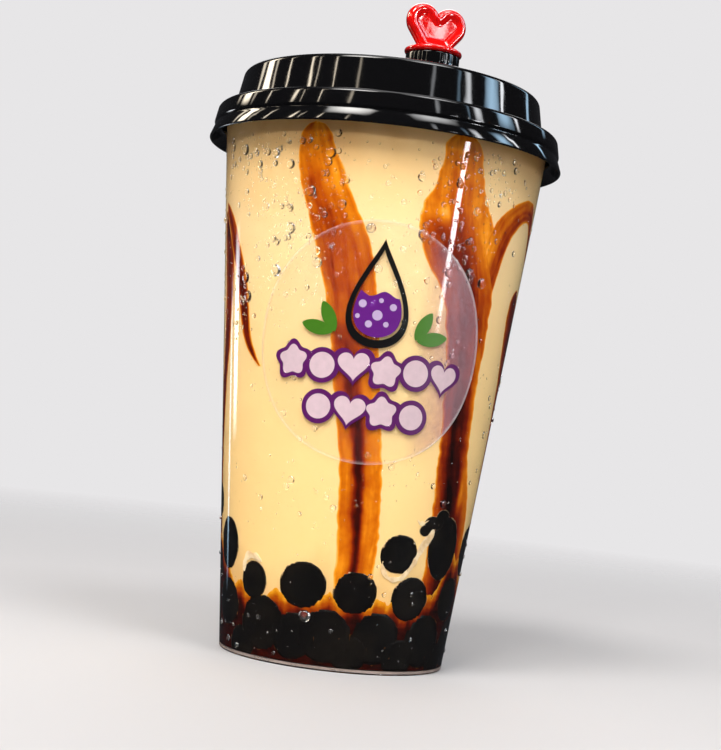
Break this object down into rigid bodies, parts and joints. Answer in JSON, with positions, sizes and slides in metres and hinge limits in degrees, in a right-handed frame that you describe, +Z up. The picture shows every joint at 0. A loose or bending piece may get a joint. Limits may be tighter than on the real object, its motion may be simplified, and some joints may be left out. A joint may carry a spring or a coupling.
{
  "type": "bubble tea",
  "caption": "Milk tea with tapioca pearls and syrup streaks in a clear tapered cup, closed by a black press-on lid with a heart stopper, with a round label.",
  "frame": {"origin": "centre of the foot ring, on the surface that the cup stands on", "axes": "+Z up along the cup's axis, -Y towards the label, +X to the label's right as it is looked at"},
  "size_m": [0.0978, 0.0978, 0.1756],
  "materials": {
    "clear_plastic": "clear, glossy, with condensation",
    "milk_tea": "creamy, opaque",
    "pearl": "wet, near black",
    "black_plastic": "high gloss",
    "red_plastic": "high gloss",
    "label_film": "milky, matte",
    "syrup": "amber to dark brown, wet",
    "water": "clear droplets",
    "print_ink": "printed, satin"
  },
  "bodies": {
    "root": {"cup": "clear_plastic", "milk_tea": "milk_tea", "pearls": "pearl", "lid": "black_plastic", "stopper": "red_plastic", "label": "label_film"}
  },
  "joints": []
}
